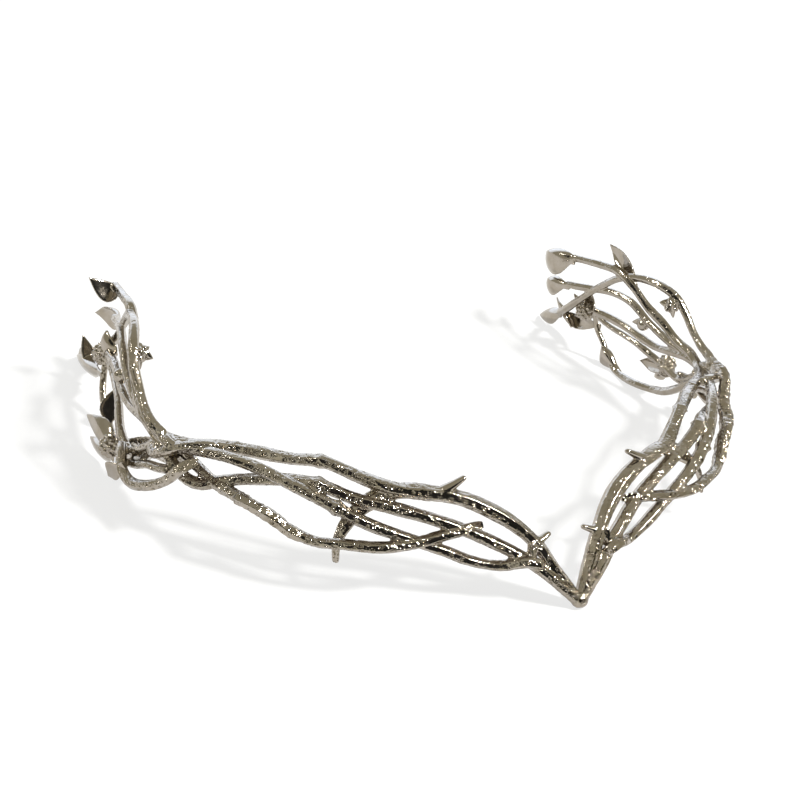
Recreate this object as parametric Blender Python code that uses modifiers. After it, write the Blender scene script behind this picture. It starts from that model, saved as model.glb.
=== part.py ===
"""Thorn-branch diadem: one casting in a polished white metal.

Two sprays of thorny twigs, mirrored but for a few leaves and one twig, meet in a point over the
brow, knot together at the temples and fan out behind them into leaves and small flowers. The
diadem is open at the back.

Frame: metres, +Z up. The brow point rests at the origin, +Y runs back along the head, +X is the
wearer's left. The casting rests on flats under the brow point and under the lowest loop of each
side.

Twigs are laid out along a rail, the plan line of one half: (s, h, o) is the distance along the
rail from the brow point, the height above the rail and the offset outward from it, all in
millimetres. The whole is then let down at the back until the lowest loops rest.
"""
import math

import bmesh
import bpy
from mathutils import Matrix, Vector

MM = 0.001

# Plan line of one half
FRONT_ANGLE = math.radians(31.0)
FRONT_RUN = 62.0
TEMPLE_RADIUS = 46.0
REAR_HEADING = math.radians(93.0)
TEMPLE_RUN = TEMPLE_RADIUS * (REAR_HEADING - FRONT_ANGLE)
SETTLE = Matrix.Rotation(math.radians(-2.0), 3, "X")

# Twig radii
STOUT = 1.25
MIDDLE = 1.1
STEM = 1.3
STALK = 0.75
THORN_TIP = 0.5

# Twig sections: soft hexagons, deeper than high in front
PATH_STEP = 1.1
RING_POINTS = 12
SIDES = 6
SWELL = 1.05
PLAIN_SECTION = (1.0, 1.0, 0.0)
FRONT_DEPTH = 1.3
DEEP_FROM = 8.0
DEEP_TO = (75.0, 100.0)
RING_REACH = 0.9
RING_LARGEST = 1.8
BLUNT_ROUND = 0.35

# Leaves and petals
LEAF_SOFTNESS = 0.95
LEAF_EDGE = 0.35
LEAF_ROOT = 0.38
BROADEST = (0.3, 0.65)
PETAL_BREADTH = 0.3
PETAL_THICKNESS = 1.2

# Fusing the casting
FUSE_CELL = 0.36
FACET_COUNT = 10600
REST_DEPTH = 20.0
REST_SPREAD = 400.0

SILVER = (0.64, 0.61, 0.56, 1.0)

# One half of the twigs: radius at the start, radius at the end, and stations (s, h, o).
TWIGS = {
    "upper_front": (STOUT, 1.6, [
        (-0.6, 0.6, 0), (6, 6.8, -1.5), (10, 11.3, -2.5), (16, 15.4, -3.6), (22, 18.1, -3.8),
        (28, 20.2, -3.2), (35, 21, -2.2), (40, 20.9, -1.8), (44, 19.6, -1), (47.5, 18, 1)]),
    "upper_front_end": (1.5, 0.55, [
        (44.5, 19.4, -0.7), (47.5, 17.9, 1.2), (50, 15.6, 4), (51.6, 12, 6.6),
        (51.4, 7.8, 8.2)]),
    "crest": (STOUT, MIDDLE, [
        (36, 21.2, -1.4), (43, 21.6, -1.2), (50, 22.7, -2.2), (57, 24.1, -3.3), (64, 23, -4.5),
        (72, 22.7, -4.8), (80, 22.6, -3.2), (87, 21.5, -0.6), (93, 21.4, 1.2), (99, 22.8, 1.2),
        (105, 23.8, 0.2), (111, 26.4, -0.7), (118, 29.1, -1.6), (124, 33, -3), (130, 35, -3.4),
        (138, 34.2, -3.4), (145, 33, -3.7), (151, 31.8, -3.9)]),
    "brow_lower": (MIDDLE, MIDDLE, [
        (9, 9.5, 0.6), (13, 10.1, 1.5), (18, 8.6, 1.8), (24, 9.4, 2.8), (30, 11.6, 3.8),
        (38, 14, 4.8), (47, 16.9, 5.6), (54, 19.6, 5.2), (62, 21.8, 3.5), (71, 23.3, 1.5),
        (79, 23, 1), (88, 21.4, 1.6), (95, 21.4, 1.6), (101, 22, 0.8), (107, 22.3, 0),
        (117, 24.2, -0.2), (126, 27.4, -0.9), (132, 27.6, -1.8), (140, 25.8, -3), (148, 23.8, -3.8),
        (151, 23.1, -3.8)]),
    "outer_front": (1.1, MIDDLE, [
        (22, 15.5, -2), (26, 14.9, -0.2), (31, 14.1, 2.4), (36, 13.4, 5.2), (42, 13.1, 7.8),
        (50, 13.2, 8.9), (56, 13, 9), (60.5, 13.8, 8.2)]),
    "outer_lower": (1.3, 1.35, [
        (58, 13.2, 8.7), (60.5, 13.8, 8.2), (65, 16, 7), (69, 17.6, 6.6), (72, 18, 6)]),
    "outer_top_right": (1.35, MIDDLE, [
        (69, 17.6, 6.6), (74, 18.2, 6), (78.6, 20, 4.8), (81, 21.8, 4.9), (83.4, 23.4, 5.1),
        (86, 24.5, 4.8), (89.4, 24.4, 4.2), (93, 24.6, 3.6), (97.5, 26, 2.6)]),
    "outer_top_left": (1.35, MIDDLE, [
        (69, 17.6, 6.6), (71.4, 17.8, 5.4), (74.5, 17.3, 3.6), (80.7, 17.5, 1.2),
        (83.4, 18.5, 0.8), (88, 21, 1.2), (93, 22.4, 2)]),
    "riser": (MIDDLE, MIDDLE, [
        (90, 23, 3), (93, 24.6, 3.5), (97.5, 26, 2.6), (101.5, 28.4, 1.7), (105.5, 31.7, 1.2),
        (109.5, 34.9, 0.2), (115.5, 36.5, -1.2), (124, 35.5, -2.2), (130, 33, -3),
        (136, 28.4, -3.3), (145, 20, -3), (152, 13.8, -1.6), (156, 11, -0.2)]),
    "main_front": (STOUT, MIDDLE, [
        (-0.5, 0.9, 0.2), (4, 4.3, 0.3), (8, 7.2, 0.4), (13, 9.8, -0.1), (18, 11.9, -0.2),
        (25, 14.1, -0.4), (34, 16.7, 0.4), (42, 18.4, 1.2), (50, 19.8, 1.9), (57, 21.9, 2.1),
        (63, 21.3, 1), (69.4, 20, 1), (73.4, 18.9, 1.2), (77, 17.6, 1.9), (80.6, 16, 2.8),
        (83.1, 16.1, 3.3), (85.5, 17.2, 3.5), (88.6, 19, 3.1), (93, 20.8, 2.2), (99, 21.6, 0.9),
        (105, 20.4, 0), (113, 18.7, 0), (120, 18.7, 0.2), (127, 19.2, -0.2), (134, 19.1, -0.5),
        (141, 18.2, -0.4)]),
    "temple_loop": (STOUT, MIDDLE, [
        (80.6, 22.8, 5.3), (82.8, 20.4, 6), (86, 16.2, 6.8), (90.6, 12.8, 7.5),
        (95, 11, 7.4), (99, 11.6, 6.8), (102.5, 13, 5.2), (106, 13.2, 3.6)]),
    "flower_link": (STALK, STEM, [
        (139, 17.2, -0.2), (132, 16.4, 0), (126, 16.2, 0.5), (121, 15.8, 1), (116, 14.7, 1.8),
        (110, 13.4, 2.6), (103, 12.8, 2.8), (98, 16, 2.4), (93, 19.8, 2.6)]),
    "lower_loop": (STEM, STALK, [
        (91, 20.4, 3.2), (95, 17.2, 2.4), (100, 12, 1.4), (105, 8.2, 0.3), (110, 6.4, 0),
        (116, 5, 0), (122, 4, 0.7), (127, 3.8, 1.2), (131.6, 5.8, 1.6), (135.4, 9.2, 1.8),
        (139, 13.2, 1), (140, 17.8, 0)]),
    "knot_wrap": (MIDDLE, MIDDLE, [
        (80, 23, -1.8), (84, 23.2, 1.6), (88, 21.4, 4.6), (92, 18.8, 4.2), (96, 19.4, 1)]),
    "knot_bridge": (MIDDLE, MIDDLE, [
        (86.5, 22.6, 4.2), (90, 22.9, 3.4), (94, 22.4, 2)]),
    "web": (MIDDLE, MIDDLE, [
        (12, 13.1, -2.6), (11.8, 11.5, -1.4), (11.5, 9.3, -0.1)]),
    "web_edge": (MIDDLE, MIDDLE, [
        (86.5, 17.6, 4.6), (90, 16.2, 4.4), (94, 14.8, 4), (98, 12.6, 4), (102, 11, 4)]),
}

# Share of the section's depth and height, and how far it leans, where it isn't the twigs' own
SECTIONS = {
    "upper_front_end": (0.8, 1.45, math.radians(-26.0)),
    "outer_lower": (1.0, 1.0, math.radians(-24.0)),
    "outer_top_left": (1.0, 1.0, math.radians(-24.0)),
    "outer_top_right": (1.0, 1.0, math.radians(-12.0)),
    "web_edge": (1.0, 0.8, 0.0),
}

# Twigs that start with a blunt cut.
BLUNT = ("outer_front", "temple_loop")

# Thorns: radius at the root, and stations from root to point.
THORNS = {
    "brow_thorn": (1.1, [(12, 12.3, -2.6), (10.4, 12.5, -3.8), (8.2, 13.5, -5.9)]),
    "crest_thorn": (1.2, [(32.5, 21.2, -2.6), (30, 22.6, -4), (27.6, 24, -5.8)]),
}

# Swellings where a twig was jointed: (s, h, o), radius.
NODES = [
    ((0.2, 1.6, 0), 1.8),
    ((57.5, 24.3, -3.4), 1.5),
    ((77, 22.8, -4), 1.4),
    ((52.5, 19.2, 5.3), 1.55),
    ((57, 21.8, 2.1), 1.6),
    ((60.3, 14.1, 8.2), 1.45),
    ((119.9, 22.4, 0.6), 1.9),
]

# Leaves and petals: root, point, broadest corner, breadth on the other side, thickness, how far
# the edges rise and how far the middle of the length rises.
LEAVES = {
    "top_tip_leaf": ((148.6, 32.6, -4), (166.3, 27.2, -0.4), (154.8, 24.3, -4), 2, 1.2, -2.4, 3),
    "top_tip_leaf_left": ((148.4, 29.8, -4.2), (150.4, 34.4, 2.5), (147.2, 28.7, -1.2), 2.3, 1, -0.5,
                          0.5),
    "mid_tip_leaf": ((148.8, 23.6, -4), (162.8, 19.5, -1.2), (155.3, 17.3, -3.6), 2, 1.2, -1.8, 2),
    "crest_leaf": ((123, 32.8, -3), (139.2, 40.2, -0.9), (128.2, 39.4, -1.8), 2, 1.2, -1.6, 0),
    "end_leaf": ((154, 11.2, -0.4), (168, 4.9, 2.5), (161.5, 10.6, 1.9), 3, 1.2, 1.2, 0),
    "end_petal_left": ((150.2, 8.5, 1.2), (154.8, 17.2, 3.3), (152.4, 12.5, 0.3), 1.8, 1, 0.3, -0.3),
    "end_petal": ((150.2, 8.5, 1.2), (161.4, 14.1, 2.3), (155.3, 12, 0.4), 1.7, 1.1, 1.3, 0),
    "curled_leaf": ((128.4, 4.8, 1.6), (132.7, 12.2, 0), (130.7, 8.9, 3.5), 2, 1, -0.4, 0.2),
    "bud": ((126, 3.9, 1.8), (135.2, 8.7, 1.4), (135.4, 3.6, 1.6), 1.2, 3, 0, 0),
    "loop_leaf": ((97.8, 13.2, 7), (103.4, 7.4, 7.7), (102.8, 11.6, 8.2), 1.8, 1.3, 0.8, 0),
    "stalk_leaf": ((104.5, 13.4, 2.8), (112.5, 10, 3.4), (109.5, 10, 3.2), 1.4, 1.3, 0.2, 0),
    "low_petal_1_left": ((107.9, 8.6, 4.6), (122.7, 5.8, 7), (114, 4.2, 6), 1.6, 1.2, 1.6, 0),
    "low_petal_2_left": ((109, 9.4, 4.4), (124.3, 10.9, 7.5), (114, 14.2, 5), 2, 1.2, -1.6, 0),
    "low_petal_1_right": ((108.2, 12.6, 4), (115.4, 7, 5.6), (114.5, 10.6, 5), 1.6, 1.2, 0.8, 0),
    "low_petal_2_right": ((107.4, 13.2, 3.8), (123.2, 8.7, 6), (116, 13, 5), 2.2, 1.2, -1.4, 0),
    "rear_petal_1": ((138, 14, 1.2), (160.6, 8.8, 3.8), (149, 8.2, 2.8), 1.8, 1.2, 1.8, 0),
    "rear_petal_2": ((142.5, 14.4, 0.2), (143.3, 23.3, -0.7), (138.2, 19.8, -1.6), 2.4, 1.2, -1.4, 0),
    "rear_petal_3": ((141, 16, 0.4), (149.5, 20.4, -1.4), (147, 19.8, -0.8), 1.6, 1.2, 1, 0),
    "inner_thorn_leaf": ((117, 23.4, 0.2), (124, 21.6, 0), (120.5, 24.4, 0), 0.8, 1.4, 0, 0),
    "knot_web": ((84, 19, 1.5), (112, 10, 2), (95, 20, 1.5), 3, 1.6, 0, 0),
}

# Flower hearts: (s, h, o), radius.
HEARTS = {
    "low_flower_left": ((110.4, 9.9, 4.8), 2.2),
    "low_flower_right": ((110.8, 13.5, 4), 2.4),
    "rear_flower": ((144, 16.6, -0.2), 2.6),
    "high_flower": ((109.8, 32.8, -0.8), 1.8),
}

# Sources that only one half has: 1 towards +X, -1 towards -X.
ONE_SIDED = {
    "outer_top_right": 1, "outer_top_left": -1,
    "top_tip_leaf": 1, "top_tip_leaf_left": -1, "end_petal": 1, "end_petal_left": -1,
    "knot_web": -1,
    "crest_leaf": 1, "bud": 1, "curled_leaf": -1,
    "low_petal_1_right": 1, "low_petal_2_right": 1, "low_flower_right": 1,
    "low_petal_1_left": -1, "low_petal_2_left": -1, "low_flower_left": -1,
}

# The small flower that hangs inside the crest: (along, up, out) of its axis, petal length, petals.
HIGH_FLOWER = ((0.3, -0.8, -0.5), 3.6, 5)


def rail(s):
    """Point on the plan line, its direction and its outward side, at s millimetres."""
    heading = FRONT_ANGLE + min(max(s - FRONT_RUN, 0.0), TEMPLE_RUN) / TEMPLE_RADIUS
    straight = min(s, FRONT_RUN)
    beyond = max(s - FRONT_RUN - TEMPLE_RUN, 0.0)
    x = straight * math.cos(FRONT_ANGLE) + beyond * math.cos(REAR_HEADING)
    y = straight * math.sin(FRONT_ANGLE) + beyond * math.sin(REAR_HEADING)
    x += TEMPLE_RADIUS * (math.sin(heading) - math.sin(FRONT_ANGLE))
    y += TEMPLE_RADIUS * (math.cos(FRONT_ANGLE) - math.cos(heading))
    along = Vector((math.cos(heading), math.sin(heading), 0.0))
    out = Vector((math.sin(heading), -math.cos(heading), 0.0))
    return Vector((x, y, 0.0)), along, out


def place(station):
    """World point, in metres, of a station (s, h, o) in millimetres."""
    s, height, offset = station
    point, _, out = rail(s)
    return SETTLE @ (point + out * offset + Vector((0.0, 0.0, height))) * MM


def aim(station, direction):
    """World direction of (along, up, out) at a station."""
    _, along, out = rail(station[0])
    forward, up, outward = direction
    return (along * forward + Vector((0.0, 0.0, up)) + out * outward).normalized()


# ---------------------------------------------------------------- twigs

def smooth_path(stations):
    """Points along a smooth curve through the stations: point, rail distance, share."""
    knots = [place(station) for station in stations]
    gaps = [(b - a).length for a, b in zip(knots, knots[1:])]
    slopes = [(knots[1] - knots[0]) / gaps[0]]
    for index in range(1, len(gaps)):
        near, far = gaps[index - 1], gaps[index]
        before = (knots[index] - knots[index - 1]) / near
        after = (knots[index + 1] - knots[index]) / far
        slopes.append((before * far + after * near) / (near + far))
    slopes.append((knots[-1] - knots[-2]) / gaps[-1])
    path = []
    for index, gap in enumerate(gaps):
        count = max(int(gap / (PATH_STEP * MM)), 1)
        for number in range(count + (index == len(gaps) - 1)):
            t = number / count
            point = (knots[index] * (2 * t ** 3 - 3 * t ** 2 + 1)
                     + slopes[index] * gap * (t ** 3 - 2 * t ** 2 + t)
                     + knots[index + 1] * (3 * t ** 2 - 2 * t ** 3)
                     + slopes[index + 1] * gap * (t ** 3 - t ** 2))
            s = stations[index][0] + (stations[index + 1][0] - stations[index][0]) * t
            path.append((point, s, (index + t) / len(gaps)))
    return path


def front_depth(s):
    """How much deeper than high the section is, s millimetres along the rail."""
    fading = min(max((DEEP_TO[1] - s) / (DEEP_TO[1] - DEEP_TO[0]), 0.0), 1.0)
    return 1.0 + (FRONT_DEPTH - 1.0) * min(max(s / DEEP_FROM, 0.0), 1.0) * fading


def ring_swell(centre, radius):
    """Radius in millimetres after the ring scars near a centre are added."""
    for station, largest in NODES:
        if largest < RING_LARGEST:
            away = (centre - place(station)).length / MM
            radius *= 1.0 + (largest / radius - 1.0) * math.exp(-(away / RING_REACH) ** 2)
    return radius


def faceted(angle):
    """Share of the round section's radius at an angle, for six flats."""
    half = math.pi / SIDES
    flat = math.cos(half) / math.cos(angle % (2.0 * half) - half)
    return flat + 0.5 * (1.0 - math.cos(half))


def end_share(distance, radius, rounding):
    """Share of the full radius at a distance from an end that is rounded off."""
    reach = min(rounding, radius)
    if distance >= reach:
        return 1.0
    return math.sqrt(max(1.0 - (1.0 - distance / reach) ** 2, 0.15))


def twig(half, stations, start_radius, end_radius, section, blunt):
    """A twig through the stations, closed at its ends, added to the half's bmesh."""
    path = smooth_path(stations)
    centres = [point for point, _, _ in path]
    arc = [0.0]
    for here, there in zip(centres, centres[1:]):
        arc.append(arc[-1] + (there - here).length / MM)
    rings = []
    for number, (centre, s, share) in enumerate(path):
        ahead = centres[min(number + 1, len(centres) - 1)]
        behind = centres[max(number - 1, 0)]
        along = (ahead - behind).normalized()
        outward = rail(s)[2]
        depth_way = (outward - along * outward.dot(along)).normalized()
        height_way = along.cross(depth_way)
        radius = ring_swell(centre, (start_radius + (end_radius - start_radius) * share) * SWELL)
        radius *= end_share(arc[number], radius, BLUNT_ROUND if blunt else radius)
        radius *= end_share(arc[-1] - arc[number], radius, radius)
        deepened = section[0] * front_depth(s)
        ring = []
        for corner in range(RING_POINTS):
            angle = math.tau * corner / RING_POINTS
            reach = radius * faceted(angle)
            across = math.cos(angle) * reach * deepened
            upright = math.sin(angle) * reach * section[1]
            deep = across * math.cos(section[2]) - upright * math.sin(section[2])
            high = across * math.sin(section[2]) + upright * math.cos(section[2])
            ring.append(half.verts.new(centre + (depth_way * deep + height_way * high) * MM))
        rings.append(ring)
    for near, far in zip(rings, rings[1:]):
        for corner in range(RING_POINTS):
            turned = (corner + 1) % RING_POINTS
            half.faces.new((near[corner], near[turned], far[turned], far[corner]))
    half.faces.new(tuple(reversed(rings[0])))
    half.faces.new(tuple(rings[-1]))


# ---------------------------------------------------------------- leaves and flowers

def add_shape(half, shape):
    """Add a finished bmesh to the half's, and free it."""
    mesh = bpy.data.meshes.new("shape")
    shape.to_mesh(mesh)
    shape.free()
    half.from_mesh(mesh)
    bpy.data.meshes.remove(mesh)


def ball(half, station, radius):
    shape = bmesh.new()
    bmesh.ops.create_uvsphere(shape, u_segments=16, v_segments=10, radius=radius * MM)
    bmesh.ops.translate(shape, verts=shape.verts, vec=place(station))
    add_shape(half, shape)


def blade(half, root, point, corner, other_breadth, thickness, cupping, arch):
    """A pointed leaf or petal from root to point, broadest towards the corner.

    World points and sizes in metres. A sphere is drawn out along the blade, flattened, cupped
    across its breadth and arched along its length. The root stays broad, to meet its stem.
    """
    along = (point - root).normalized()
    length = (point - root).length
    broadest = min(max((corner - root).dot(along) / length, BROADEST[0]), BROADEST[1])
    fullness = math.log(0.5) / math.log(broadest)
    reach = (corner - root) - along * (corner - root).dot(along)
    side = reach.normalized()
    normal = along.cross(side)
    shape = bmesh.new()
    bmesh.ops.create_uvsphere(shape, u_segments=32, v_segments=24, radius=1.0)
    for vert in shape.verts:
        share = (vert.co.z + 1.0) / 2.0
        ring = math.sqrt(max(1.0 - vert.co.z ** 2, 0.0))
        inside = 1e-4 < share < 1.0 - 1e-4
        across = vert.co.x / ring if inside else 0.0
        through = vert.co.y / ring if inside else 0.0
        spread = math.sin(math.pi * share ** fullness) ** LEAF_SOFTNESS if inside else 0.0
        spread = max(spread, LEAF_ROOT * (share < broadest and inside))
        breadth = reach.length if across > 0.0 else other_breadth
        body = LEAF_EDGE + (1.0 - LEAF_EDGE) * spread if inside else 0.0
        rise = cupping * ((across * spread) ** 2 - 0.5 * spread) + arch * math.sin(math.pi * share)
        vert.co = (root + along * (share * length) + side * (across * spread * breadth)
                   + normal * (through * body * thickness / 2.0 + rise))
    add_shape(half, shape)


def small_flower(half, station, opening, petal_length, petal_count):
    """A ring of pointed petals about a heart."""
    centre = place(station)
    axis = aim(station, opening)
    first = axis.orthogonal().normalized()
    for index in range(petal_count):
        turn = Matrix.Rotation(math.tau * index / petal_count, 3, axis)
        radial = turn @ first
        sideways = axis.cross(radial)
        length = petal_length * MM
        point = centre + (axis * 0.6 + radial).normalized() * length
        corner = centre + radial * (0.5 * length) + sideways * (PETAL_BREADTH * length)
        blade(half, centre, point, corner,
              PETAL_BREADTH * length, PETAL_THICKNESS * MM, 0.0, 0.0)


# ---------------------------------------------------------------- the casting

def is_on(name, side):
    return ONE_SIDED.get(name, side) == side


def half_casting(side):
    """Overlapping sources of the half towards +X (side 1) or -X (side -1), as one mesh."""
    half = bmesh.new()
    for name, (start, end, stations) in TWIGS.items():
        if is_on(name, side):
            twig(half, stations, start, end, SECTIONS.get(name, PLAIN_SECTION), name in BLUNT)
    for root_radius, stations in THORNS.values():
        twig(half, stations, root_radius, THORN_TIP, PLAIN_SECTION, False)
    for station, radius in NODES:
        if radius >= RING_LARGEST:
            ball(half, station, radius)
    for name, (station, radius) in HEARTS.items():
        if is_on(name, side):
            ball(half, station, radius)
    for name, (root, point, corner, other_breadth, thickness, cupping, arch) in LEAVES.items():
        if is_on(name, side):
            blade(half, place(root), place(point), place(corner), other_breadth * MM,
                  thickness * MM, cupping * MM, arch * MM)
    small_flower(half, HEARTS["high_flower"][0], *HIGH_FLOWER)
    if side < 0:
        for vert in half.verts:
            vert.co.x = -vert.co.x
        bmesh.ops.reverse_faces(half, faces=half.faces)
    mesh = bpy.data.meshes.new("half")
    half.to_mesh(mesh)
    half.free()
    return mesh


def both_halves(name):
    joined = bmesh.new()
    for side in (1, -1):
        mesh = half_casting(side)
        joined.from_mesh(mesh)
        bpy.data.meshes.remove(mesh)
    mesh = bpy.data.meshes.new(name)
    joined.to_mesh(mesh)
    joined.free()
    return mesh


def bake_modifiers(piece):
    depsgraph = bpy.context.evaluated_depsgraph_get()
    mesh = bpy.data.meshes.new_from_object(piece.evaluated_get(depsgraph), depsgraph=depsgraph)
    piece.modifiers.clear()
    piece.data = mesh


def fill_pockets(mesh):
    """Keep the outer skin only, so that no sealed pocket is left inside the metal."""
    skin = bmesh.new()
    skin.from_mesh(mesh)
    unseen = set(skin.verts)
    shells = []
    while unseen:
        front = [unseen.pop()]
        shell = set(front)
        while front:
            for edge in front.pop().link_edges:
                for vert in edge.verts:
                    if vert in unseen:
                        unseen.remove(vert)
                        shell.add(vert)
                        front.append(vert)
        shells.append(shell)
    outer = max(shells, key=len)
    pockets = [vert for vert in skin.verts if vert not in outer]
    bmesh.ops.delete(skin, geom=pockets, context="VERTS")
    skin.to_mesh(mesh)
    skin.free()


def fuse(piece):
    """Fuse every overlapping source into one skin, then facet it."""
    remesh = piece.modifiers.new("one_skin", "REMESH")
    remesh.mode = "VOXEL"
    remesh.voxel_size = FUSE_CELL * MM
    remesh.adaptivity = 0.0
    bake_modifiers(piece)
    fill_pockets(piece.data)
    decimate = piece.modifiers.new("facets", "DECIMATE")
    decimate.ratio = FACET_COUNT / (2.0 * len(piece.data.polygons))
    decimate.use_collapse_triangulate = True
    bake_modifiers(piece)


def flatten_rests(piece, collection):
    """Cut the underside flat on the rest plane."""
    bpy.ops.mesh.primitive_cube_add(size=1.0, location=(0.0, 0.0, -REST_DEPTH * MM / 2.0))
    cutter = bpy.context.object
    cutter.name = "rest_plane_cutter"
    cutter.scale = (REST_SPREAD * MM, REST_SPREAD * MM, REST_DEPTH * MM)
    for home in list(cutter.users_collection):
        home.objects.unlink(cutter)
    collection.objects.link(cutter)
    cutter.hide_render = True
    cutter.display_type = "WIRE"
    trim = piece.modifiers.new("rests", "BOOLEAN")
    trim.operation = "DIFFERENCE"
    trim.solver = "EXACT"
    trim.object = cutter


def white_metal():
    material = bpy.data.materials.new("white_metal")
    material.use_nodes = True
    shader = material.node_tree.nodes["Principled BSDF"]
    shader.inputs["Base Color"].default_value = SILVER
    shader.inputs["Metallic"].default_value = 1.0
    shader.inputs["Roughness"].default_value = 0.2
    material.diffuse_color = SILVER
    return material


def build():
    for piece in list(bpy.data.objects):
        bpy.data.objects.remove(piece, do_unlink=True)
    parts = bpy.data.collections.new("diadem")
    cutters = bpy.data.collections.new("cutters")
    for collection in (parts, cutters):
        bpy.context.scene.collection.children.link(collection)
    diadem = bpy.data.objects.new("diadem", both_halves("diadem"))
    parts.objects.link(diadem)
    fuse(diadem)
    flatten_rests(diadem, cutters)
    diadem.data.materials.clear()
    diadem.data.materials.append(white_metal())


build()
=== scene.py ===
"""Looks of the thorn-branch diadem: a polished white-metal casting on a pale studio floor.

The casting is built again at a fine grain from the same stations as the solid, fused into one
skin, and given its relief as real mesh: hammered bark with pits, ridges and ring scars on the
front twigs, smoother stems behind the temples, cupped leaves and granulated flower hearts.

Twigs are laid out along a rail, the plan line of one half: (s, h, o) is the distance along the
rail from the brow point, the height above the rail and the offset outward from it, all in
millimetres. The whole is then let down at the back until the lowest loops rest. Everything else
is in metres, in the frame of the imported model.
"""
import math

import bmesh
import bpy
import numpy as np
from mathutils import Matrix, Vector, kdtree, noise


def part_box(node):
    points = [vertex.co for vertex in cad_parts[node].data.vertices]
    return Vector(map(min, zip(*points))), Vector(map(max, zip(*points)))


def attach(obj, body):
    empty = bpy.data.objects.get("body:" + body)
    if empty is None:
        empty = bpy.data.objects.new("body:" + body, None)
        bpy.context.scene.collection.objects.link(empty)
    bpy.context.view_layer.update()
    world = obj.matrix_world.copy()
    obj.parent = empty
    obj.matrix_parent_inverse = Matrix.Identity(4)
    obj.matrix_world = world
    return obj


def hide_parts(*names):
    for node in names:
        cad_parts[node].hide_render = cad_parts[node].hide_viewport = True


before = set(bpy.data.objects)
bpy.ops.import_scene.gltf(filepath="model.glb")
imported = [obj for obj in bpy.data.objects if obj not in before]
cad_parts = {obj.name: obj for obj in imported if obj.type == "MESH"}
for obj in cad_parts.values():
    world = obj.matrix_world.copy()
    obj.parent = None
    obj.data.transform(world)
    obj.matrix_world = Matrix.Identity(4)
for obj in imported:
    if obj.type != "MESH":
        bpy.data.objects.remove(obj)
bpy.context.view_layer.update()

MM = 0.001

# Plan line of one half, and how far the whole is let down at the back
FRONT_ANGLE = math.radians(31.0)
FRONT_RUN = 62.0
TEMPLE_RADIUS = 46.0
REAR_HEADING = math.radians(93.0)
TEMPLE_RUN = TEMPLE_RADIUS * (REAR_HEADING - FRONT_ANGLE)
SETTLE = Matrix.Rotation(math.radians(-2.0), 3, "X")

# Twig radii, in millimetres
STOUT = 1.25
MIDDLE = 1.1
STEM = 1.3
STALK = 0.75

# Fine skin, in millimetres and counts
PATH_STEP = 0.3
RING_POINTS = 36
SKIN_CELL = 0.18
SKIN_TRIANGLES = 750000
PIECE_SPLIT = 48.5
SIDES = 6
FACETING = 1.0
SECTION_TWIST = 0.08
THORN_TIP = 0.5
# Leaves: how full the outline is, how thick its edge and how broad its root are, as shares, and
# between which shares of the length it may be broadest
LEAF_SOFTNESS = 0.95
LEAF_EDGE = 0.35
LEAF_ROOT = 0.38
LEAF_BROADEST = (0.3, 0.65)
LEAF_SEGMENTS = (64, 48)
LEAF_END = 1e-4
BALL_SUBDIVISIONS = 3
PETAL_OPENING = 0.6
PETAL_BREADTH = 0.3
PETAL_THICKNESS = 1.2
GRAIN_RADIUS = 0.6
GRAINS_PER_MM2 = 0.6
GOLDEN_ANGLE = math.pi * (3.0 - math.sqrt(5.0))

# Section of a twig: share of its depth, share of its height and how far it leans
PLAIN_SECTION = (1.0, 1.0, 0.0)
SECTIONS = {
    "upper_front_end": (0.8, 1.45, math.radians(-26.0)),
    "outer_lower": (1.0, 1.0, math.radians(-24.0)),
    "outer_top_left": (1.0, 1.0, math.radians(-24.0)),
    "outer_top_right": (1.0, 1.0, math.radians(-12.0)),
    "web_edge": (1.0, 0.8, 0.0),
}
# The front twigs are deeper than high from DEEP_FROM on, fading out over DEEP_TO
FRONT_DEPTH = 1.3
DEEP_FROM = 8.0
DEEP_TO = (75.0, 100.0)
SWELL = 1.05
RING_REACH = 0.9
RING_LARGEST = 1.8

# Bark and relief, in millimetres and shares
TWIG_PHASE = 2.4
GRAIN_APART = 40.0
GIRTH_WANDER = 0.14
GIRTH_PACE = 0.13
GIRTH_SEED = 1.7
TURN_PACE = 0.05
TURN_SEED = 8.1
LEAST_ROUND = 0.02
BLUNT_ROUND = 0.35
CUT_LENGTH = 4.5
CUT_TURN = math.radians(-40.0)
GRAIN_STRETCH = 1.4
BARK_FULL_TO = 42.0
BARK_LEAST_FROM = 75.0
BARK_LEAST = 0.5
SHELTERED_BARK = 0.45
SCALE_LENGTH = 2.1
SCALE_WANDER = 0.9
SCALE_PACE = 0.6
SCALE_SEED = 3.3
SCALE_DRIFT = 0.4
SCALE_LEAN = 1.1
SCALE_DEPTH = 0.05
CHIP = 1.1
CHIP_DEPTH = 0.12
CHIP_EDGE = 0.2
CHIP_SHUFFLE = 7.3
RIDGE_STRETCH = 4.0
RIDGE_PACE = 0.9
RIDGE_DEPTH = 0.16
PIT_SPACING = 0.65
PIT_SIZE = 0.45
PIT_RARITY = -0.08
PIT_DEPTH = 0.32
PIT_LEAST = 0.75
PIT_SHUFFLE = 7.31
FINE_DEPTH = 0.015
FINE_PACE = 2.3
DEEPEST = 0.3
OTHER_HALF_SHIFT = Vector((17.0, 31.0, 5.0))
BLUNT = ("outer_front", "temple_loop")
BARK_ALL_ROUND = ("outer_lower", "outer_top_left", "outer_top_right")

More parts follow.
